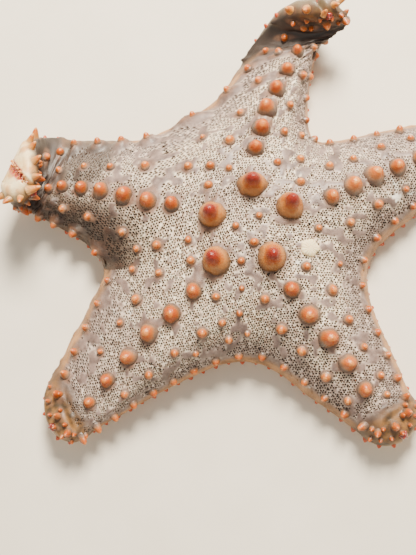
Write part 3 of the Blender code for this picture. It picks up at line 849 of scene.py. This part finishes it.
FOOT_PROFILE = (
    (0.9, -0.3), (0.72, 0.0), (0.66, 0.2), (0.64, 0.4), (0.6, 0.6), (0.62, 0.74), (0.86, 0.84), (1.0, 0.9),
    (0.92, 0.95), (0.6, 0.97), (0.3, 0.94),
)
FORMS = {
    PRIMARY: turned(PRIMARY_PROFILE, 36),
    CARINAL: turned(BLUNT_PROFILE, 26),
    LESSER: turned(BLUNT_PROFILE, 18),
    MARGINAL: turned(BLUNT_PROFILE, 18),
    LOWER: turned(BLUNT_PROFILE, 12),
    SPINE: turned(SHARP_PROFILE, 16),
}
PALENESS = {PRIMARY: 0.0, CARINAL: 0.15, LESSER: 0.6, MARGINAL: 0.3, LOWER: 0.3, SPINE: 0.15}
PALE_ROW = 0.5  # the row along the right arm


def uneven(form, dice, amount):
    """A copy of a turned form with its roundness disturbed."""
    points, quads, tips, rise, tile = form
    place = points + dice.uniform(-50, 50, 3)
    wobble = (noise(place, 0.8, 41) + 0.45 * noise(place, 0.3, 42)) * amount
    swollen = points * np.column_stack((1 + wobble, 1 + wobble, np.ones(len(points))))
    return swollen, quads, tips, rise, tile


def build_tubercles(knobs):
    dice = np.random.default_rng(12)
    joined = Joined("tubercles", len(knobs))
    for knob in knobs:
        tilt = Matrix.Rotation(radians(dice.uniform(-5, 5)), 4, "X")
        tilt @= Matrix.Rotation(radians(dice.uniform(-5, 5)), 4, "Y")
        stretch = dice.uniform(0.94, 1.06)
        lift = 0.8 * knob.mound
        height = knob.height - (0 if knob.mound == BEAD else lift)
        size = Matrix.Diagonal((knob.radius * stretch, knob.radius / stretch, height, 1))
        stand = surface_frame(knob.x, knob.y, knob.underside) @ Matrix.Translation((0, 0, lift))
        matrix = stand @ tilt @ size
        pale = PALENESS[knob.kind]
        if knob.kind == CARINAL and abs(degrees(atan2(knob.y, knob.x)) - ARMS[0].bearing) < 20:
            pale = PALE_ROW
        joined.add(
            uneven(FORMS[knob.kind], dice, 0.09),
            matrix,
            great=float(knob.kind == PRIMARY),
            pale=np.clip(pale + dice.uniform(-0.25, 0.25), 0, 1) * (knob.kind != PRIMARY),
            lower=float(knob.kind == LOWER),
            horn=float(knob.kind == SPINE and knob.underside) * dice.uniform(0.7, 1),
        )
    return joined.build()


def furrow_sites(step, offset):
    """Places along both sides of every furrow: arm, distance out, side, and the frame that faces out."""
    for arm in ARMS:
        for along in np.arange(MOUTH_RADIUS + 0.002, arm.length - 0.003, step):
            width = GROOVE_WIDTH * tapered(along / arm.length)
            for side in (-1, 1):
                x, y = plan_point(arm, along, side * offset * width)
                yield arm, along, side, surface_frame(x, y, True)


def build_furrow_spines():
    """The small blunt spines that fringe the furrows and fold over them, freer where a tip curls up."""
    dice = np.random.default_rng(13)
    sites = list(furrow_sites(FRINGE_STEP, FRINGE_PLACE))
    joined = Joined("furrow_spines", len(sites))
    form = turned(SHARP_PROFILE, 8)
    for arm, along, side, stand in sites:
        free = float(smooth(arm.curl_from, arm.curl_from + 0.12, along / arm.length))
        free *= arm.curl > STRONG_CURL
        heading = radians(arm.bearing)
        inward = Vector((side * sin(heading), -side * cos(heading), 0))
        down = stand.to_3x3() @ Vector((0, 0, 1))
        direction = (down * (0.35 + 0.5 * free) + inward * (0.9 - 1.4 * free)).normalized()
        length = (0.0017 - 0.0003 * free) * dice.uniform(0.85, 1.15)
        turn = direction.to_track_quat("Z", "Y").to_matrix().to_4x4()
        place = Matrix.Translation(stand.translation + Vector((0, 0, 0.0006 * (1 - free))))
        matrix = place @ turn @ Matrix.Diagonal((0.00062, 0.00042, length, 1))
        joined.add(uneven(form, dice, 0.05), matrix)
    return joined.build()


def build_tube_feet():
    """Two rows of drawn-in tube feet in each furrow, each with its sucker."""
    dice = np.random.default_rng(14)
    sites = list(furrow_sites(FEET_STEP, FEET_PLACE))
    joined = Joined("tube_feet", len(sites))
    form = turned(FOOT_PROFILE, 10)
    for arm, along, _, stand in sites:
        radius, height = (length * tapered(along / arm.length) for length in FOOT_SIZE)
        size = Matrix.Diagonal((radius, radius, height * dice.uniform(0.7, 1), 1))
        joined.add(uneven(form, dice, 0.06), stand @ size)
    return joined.build()


def polar(points):
    return np.arctan2(points[:, 1], points[:, 0]), np.hypot(points[:, 0], points[:, 1])


def middle_and_half(node):
    low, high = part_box(node)
    return Vector((low + high) / 2), (high - low) / 2


def build_sieve_plate():
    """The madreporite: a low five-cornered cushion with fine furrows that wander out from its middle."""
    stand = surface_frame(*SIEVE_PLACE)
    angles = np.linspace(0.06, pi / 2 - 0.04, 26)
    profile = [(1.08, -0.9)] + [(cos(angle) ** 0.7, sin(angle) ** 1.1) for angle in angles]
    points, quads, tips, rise, tile = turned(profile, 96)
    bearing, reach = polar(points)
    corners = 1 + 0.06 * np.cos(5 * bearing) + 0.04 * noise(points[:, :2] + 9, 0.9, 51)
    wander = bearing * 15 + 2.6 * noise(points[:, :2], 0.33, 52)
    furrows = np.sin(wander) * smooth(0.08, 0.3, reach) * (1 - smooth(0.93, 1.0, reach))
    points = points * np.column_stack((corners, corners, np.ones(len(points))))
    points[:, 2] += 0.055 * furrows * (rise > 0)
    joined = Joined("sieve_plate", 1)
    size = Matrix.Diagonal((SIEVE_RADIUS, SIEVE_RADIUS * 0.92, SIEVE_HEIGHT, 1))
    joined.add((points, quads, tips, rise, tile), stand @ size, furrows=0.5 + 0.5 * furrows)
    return joined.build()


def build_eyespots():
    """The eyespot at each tip: a small cushion of red lenses."""
    dice = np.random.default_rng(15)
    joined = Joined("eyespots", len(ARMS) * (LENSES + 1))
    ball = turned([(sin(a), -cos(a)) for a in np.linspace(0.25, pi - 0.12, 12)], 20)
    for arm in ARMS:
        middle, (radius, *_) = middle_and_half(f"eyespot_{arm.name}")
        joined.add(ball, Matrix.Translation(middle) @ Matrix.Scale(radius * 0.93, 4), lens=0.0)
        for index in range(LENSES):
            height = 1 - (index + 0.5) * 2 / LENSES
            turn = index * LENS_TURN
            flat = sqrt(1 - height * height)
            way = Vector((flat * cos(turn), flat * sin(turn), height))
            place = Matrix.Translation(middle + way * radius * 0.78)
            joined.add(uneven(ball, dice, 0.05), place @ Matrix.Scale(radius * 0.3, 4), lens=1.0)
    return joined.build()


def build_mouth():
    """The membrane round the mouth, in soft folds, and the opening at its middle."""
    middle, (radius, _, half) = middle_and_half("mouth")
    profile = [(1.0, 0.62), (1.0, -0.1)] + [
        (share, -0.35 + 0.3 * abs(share - 0.55) + 1.1 * smooth(0.42, 0.05, share))
        for share in np.linspace(0.96, 0.06, 22)
    ]
    points, quads, tips, rise, tile = turned(profile, 100)
    bearing, reach = polar(points)
    folds = np.cos(bearing * 25 + 1.5 * noise(points[:, :2], 0.6, 61))
    points[:, 2] += 0.07 * folds * smooth(0.12, 0.4, reach) * (1 - smooth(0.9, 1.0, reach))
    points[-1, 2] = points[-2, 2]
    joined = Joined("mouth_membrane", 1)
    matrix = Matrix.Translation(middle) @ Matrix.Diagonal((radius * 0.98, radius * 0.98, half, 1))
    joined.add((points, quads[:, ::-1], tips[:, ::-1], rise, tile), matrix, folds=0.5 + 0.5 * folds)
    return joined.build()


# ------------------------ materials
class Paint:
    """A material in the making: its nodes, and its main shader with what is the same all over it."""

    def __init__(self, name, roughness, subsurface=0.0, radius=0.001, coat=0.0):
        self.material = bpy.data.materials.new(name)
        self.material.use_nodes = True
        self.tree = self.material.node_tree
        self.inputs = self.tree.nodes["Principled BSDF"].inputs
        self.inputs["Roughness"].default_value = roughness
        self.inputs["Subsurface Weight"].default_value = subsurface
        self.inputs["Subsurface Scale"].default_value = radius
        self.inputs["Subsurface Radius"].default_value = (1.0, 0.45, 0.25)
        self.inputs["Coat Weight"].default_value = coat
        self.inputs["Coat Roughness"].default_value = 0.22

    def feed(self, socket, value):
        """Set a socket to a number or a colour, or link it to another socket or to a named attribute."""
        if isinstance(value, str):
            value = self.node("Attribute", {}, attribute_name=value)["Fac"]
        if isinstance(value, bpy.types.NodeSocket):
            self.tree.links.new(value, socket)
        else:
            socket.default_value = (*value, 1) if isinstance(value, tuple) else value

    def node(self, kind, inputs, **settings):
        """The outputs of a new node, with its settings made and its inputs fed."""
        node = self.tree.nodes.new("ShaderNode" + kind)
        for label, value in settings.items():
            setattr(node, label, value)
        for label, value in inputs.items():
            self.feed(node.inputs[label], value)
        return node.outputs

    def maths(self, operation, first, second):
        return self.node("Math", {0: first, 1: second}, operation=operation)[0]

    def mixed(self, share, first, second):
        return self.node("Mix", {0: share, 6: first, 7: second}, data_type="RGBA")[2]

    def grain(self, lumps, low=0.35, high=0.65, detail=3.0):
        """Noise from 0 to 1, with so many lumps to the metre, its contrast set by low and high."""
        place = self.node("TexCoord", {})["Object"]
        texture = self.node("TexNoise", {"Vector": place, "Scale": lumps, "Detail": detail})["Fac"]
        return self.node("MapRange", {"Value": texture, "From Min": low, "From Max": high})["Result"]

    def grained(self, first, second, lumps, low=0.35, high=0.65):
        return self.mixed(self.grain(lumps, low, high), first, second)

    def ramp(self, share, *stops):
        """Colours along a share, each stop a place and a colour."""
        node = self.tree.nodes.new("ShaderNodeValToRGB")
        self.feed(node.inputs["Fac"], share)
        elements = node.color_ramp.elements
        while len(elements) < len(stops):
            elements.new(0.5)
        for element, (place, *colour) in zip(elements, stops):
            element.position = place
            element.color = (*colour, 1)
        return node.outputs["Color"]

    def finished(self, colour, lumps=None, low=0.2, high=0.8, distance=0.0001, strength=1.0):
        """The material with its colour, and with a fine bump where lumps are given."""
        self.feed(self.inputs["Base Color"], colour)
        if lumps:
            height = self.grain(lumps, low, high, 2.0)
            bump = self.node("Bump", {"Strength": strength, "Distance": distance, "Height": height})
            self.feed(self.inputs["Normal"], bump["Normal"])
        return self.material


def skin_material():
    paint = Paint("star_skin", 0.50, 0.05, 0.0006, 0.12)
    net = paint.grained((0.50, 0.34, 0.23), (0.82, 0.62, 0.43), 95)
    net = paint.grained(net, (0.98, 0.85, 0.64), 800, 0.44, 0.60)
    # mauve-grey net: its own tone where it varies at random, painted shade towards the margins
    dusky = paint.grained((0.235, 0.165, 0.142), (0.62, 0.485, 0.405), 560, 0.42, 0.60)
    net = paint.mixed("dusk", net, dusky)
    colour = paint.mixed("plate", net, paint.grained((0.115, 0.074, 0.062), (0.26, 0.180, 0.150), 260))
    specks = paint.maths("MULTIPLY", paint.grain(75, 0.665, 0.69, 6.0), 0.85)
    colour = paint.mixed(specks, colour, (0.92, 0.86, 0.74))
    # the flank's brown: partly the band's own tone, partly painted shade on the star's sides
    colour = paint.mixed("flank", colour, paint.grained((0.20, 0.088, 0.026), (0.46, 0.225, 0.085), 170))
    # painted shade in the creases of the folded tips
    crease_shaded = paint.mixed("hollow", (0.078, 0.055, 0.044), (0.020, 0.012, 0.009))
    colour = paint.mixed("tip", colour, paint.grained((0.032, 0.020, 0.014), crease_shaded, 140))
    # painted shade on the left arm's front side, partly the skin's own darker brown
    dark = paint.grained((0.018, 0.007, 0.003), (0.055, 0.023, 0.010), 200)
    colour = paint.mixed(paint.maths("MULTIPLY", "dark", 0.93), colour, dark)
    colour = paint.mixed("end", colour, paint.grained((0.055, 0.032, 0.012), (0.33, 0.15, 0.036), 240))
    oral = paint.grained((0.80, 0.50, 0.19), (0.96, 0.79, 0.47), 130)
    blotches = paint.maths("MULTIPLY", paint.grain(150, 0.50, 0.66), "tip")
    oral = paint.mixed(paint.maths("MULTIPLY", blotches, 0.8), oral, (0.60, 0.25, 0.055))
    colour = paint.mixed("oral", colour, oral)
    colour = paint.mixed("furrow", colour, (0.46, 0.085, 0.06))
    collar = paint.grained((0.12, 0.052, 0.026), (0.24, 0.12, 0.065), 400)
    colour = paint.mixed(paint.maths("MULTIPLY", "foot", 0.75), colour, collar)
    # painted shade: the pores' insides and lips near-black
    colour = paint.mixed("pore", colour, (0.042, 0.021, 0.011))
    return paint.finished(colour, 2600, 0.2, 0.8, 0.00012, 0.7)


def tubercle_material():
    paint = Paint("tubercle_skin", 0.38, 0.08, 0.0008, 0.18)
    rise = paint.maths("ADD", "rise", paint.maths("MULTIPLY", paint.grain(420), 0.16))
    # the common and pale ramps lighten at the very top: partly pale tips, partly a painted highlight
    common = paint.ramp(
        rise,
        (0.0, 0.10, 0.066, 0.050), (0.24, 0.17, 0.086, 0.045), (0.44, 0.33, 0.080, 0.005),
        (0.74, 0.39, 0.057, 0.000), (0.93, 0.41, 0.070, 0.000), (1.0, 0.52, 0.14, 0.012),
    )
    # the great ramp's darkest lowest stop is painted shade round its foot
    great = paint.ramp(
        rise,
        (0.0, 0.12, 0.060, 0.025), (0.16, 0.28, 0.12, 0.038), (0.40, 0.45, 0.175, 0.038),
        (0.56, 0.39, 0.088, 0.002), (0.74, 0.33, 0.040, 0.000), (1.0, 0.20, 0.008, 0.000),
    )
    pale = paint.ramp(
        rise,
        (0.0, 0.17, 0.115, 0.090), (0.3, 0.34, 0.20, 0.115), (0.62, 0.56, 0.19, 0.038),
        (0.90, 0.54, 0.125, 0.006), (1.0, 0.66, 0.28, 0.070),
    )
    horn = paint.ramp(
        rise,
        (0.0, 0.66, 0.36, 0.12), (0.35, 0.60, 0.24, 0.040), (0.75, 0.54, 0.130, 0.006),
        (1.0, 0.70, 0.34, 0.110),
    )
    colour = common
    for label, over in (("great", great), ("pale", pale), ("lower", (0.48, 0.060, 0.006)), ("horn", horn)):
        colour = paint.mixed(label, colour, over)
    return paint.finished(colour, 1500, 0.25, 0.75, 0.00016, 0.8)


def plain_grained(name, first, second, lumps, roughness, subsurface, mask, masked, coat=0.0):
    """A material of two colours in grains, with a third where an attribute says, and a fine bump."""
    paint = Paint(name, roughness, subsurface, coat=coat)
    colour = paint.mixed(mask, paint.grained(first, second, lumps), masked)
    return paint.finished(colour, lumps * 8, 0.2, 0.8, 0.00008, 0.6)


GRAINED = (
    ("furrow_spine", (0.62, 0.27, 0.07), (0.78, 0.48, 0.22), 420, 0.45, 0.2, "rise", (0.66, 0.19, 0.03)),
    ("tube_foot", (0.74, 0.45, 0.30), (0.84, 0.60, 0.44), 500, 0.35, 0.4, "rise", (0.80, 0.48, 0.36)),
    ("sieve_chalk", (0.76, 0.54, 0.25), (0.90, 0.72, 0.40), 420, 0.7, 0.1, "furrows", (0.95, 0.80, 0.50)),
    ("mouth_skin", (0.48, 0.21, 0.15), (0.66, 0.38, 0.29), 260, 0.4, 0.3, "folds", (0.72, 0.46, 0.36)),
    ("eyespot_red", (0.10, 0.008, 0.006), (0.24, 0.02, 0.012), 900, 0.2, 0.1, "lens", (0.34, 0.03, 0.02),
     0.5),
)
FRINGE, TUBE_FOOT, CHALK, MEMBRANE, LENS_RED = (plain_grained(*row) for row in GRAINED)

# ------------------------ putting it together
knobs = all_knobs()
skin = build_skin(knobs)
skin.data.materials.append(skin_material())
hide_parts("disc", *(f"arm_{arm.name}{end}" for arm in ARMS for end in ("", "_tip")))

tubercles = build_tubercles(knobs)
tubercles.data.materials.append(tubercle_material())

furrow_spines = build_furrow_spines()
furrow_spines.data.materials.append(FRINGE)

tube_feet = build_tube_feet()
tube_feet.data.materials.append(TUBE_FOOT)

sieve_plate = build_sieve_plate()
sieve_plate.data.materials.append(CHALK)
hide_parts("madreporite")

mouth = build_mouth()
mouth.data.materials.append(MEMBRANE)
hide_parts("mouth")

eyespots = build_eyespots()
eyespots.data.materials.append(LENS_RED)
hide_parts(*(f"eyespot_{arm.name}" for arm in ARMS))

for piece in (skin, tubercles, furrow_spines, tube_feet, sieve_plate, mouth, eyespots):
    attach(piece, "root")

# ------------------------ floor, light and camera
ground = bpy.data.meshes.new("floor")
floor_corners = [(x * FLOOR_HALF, y * FLOOR_HALF, 0) for x, y in ((-1, -1), (1, -1), (1, 1), (-1, 1))]
ground.from_pydata(floor_corners, [], [(0, 1, 2, 3)])
floor = new_object("floor", ground)
paint = Paint("pale_floor", 0.85)
ground.materials.append(paint.finished(paint.grained((0.78, 0.71, 0.59), (0.82, 0.75, 0.63), 30)))
floor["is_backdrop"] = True


def area_light(name, bearing, elevation, distance, size, power, colour):
    """A square soft light, facing the disc."""
    turn, rise = radians(bearing), radians(elevation)
    way = Vector((cos(turn) * cos(rise), sin(turn) * cos(rise), sin(rise)))
    light = bpy.data.lights.new(name, "AREA")
    light.size = size
    light.energy = power
    light.color = colour
    lamp = new_object(name, light)
    lamp.location = way * distance
    lamp.rotation_euler = way.to_track_quat("Z", "Y").to_euler()


area_light("key", 78, 50, distance=1.0, size=0.35, power=42, colour=(1.0, 0.91, 0.77))
area_light("fill", 250, 40, distance=1.2, size=0.9, power=2.5, colour=(1.0, 0.93, 0.84))
world = bpy.data.worlds.new("studio")
world.use_nodes = True
background = world.node_tree.nodes["Background"]
background.inputs["Color"].default_value = (1.0, 0.94, 0.86, 1)
background.inputs["Strength"].default_value = 0.55
bpy.context.scene.world = world

turn, rise = radians(CAMERA_BEARING), radians(CAMERA_ELEVATION)
back = Vector((sin(turn) * cos(rise), -cos(turn) * cos(rise), sin(rise)))
right = Vector((0, 1, 0)).cross(back).normalized()
up = back.cross(right)
aim = DISC_CENTRE + Vector((0, 0, AIM_HEIGHT))
offset = right * AIM_PLACE[0] + up * AIM_PLACE[1] - back
camera_data = bpy.data.cameras.new("camera")
camera_data.lens = CAMERA_LENS
camera_data.sensor_width = 36
camera_data.clip_start = 0.01
camera = new_object("camera", camera_data)
facing = Matrix((right, up, back)).transposed().to_4x4()
camera.matrix_world = Matrix.Translation(aim - offset * CAMERA_DISTANCE) @ facing
bpy.context.scene.camera = camera

bpy.context.view_layer.update()
boxes = {"cad": CAD_BOX, "visual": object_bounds()}
{name: [[float(v) for v in corner] for corner in box] for name, box in boxes.items()}
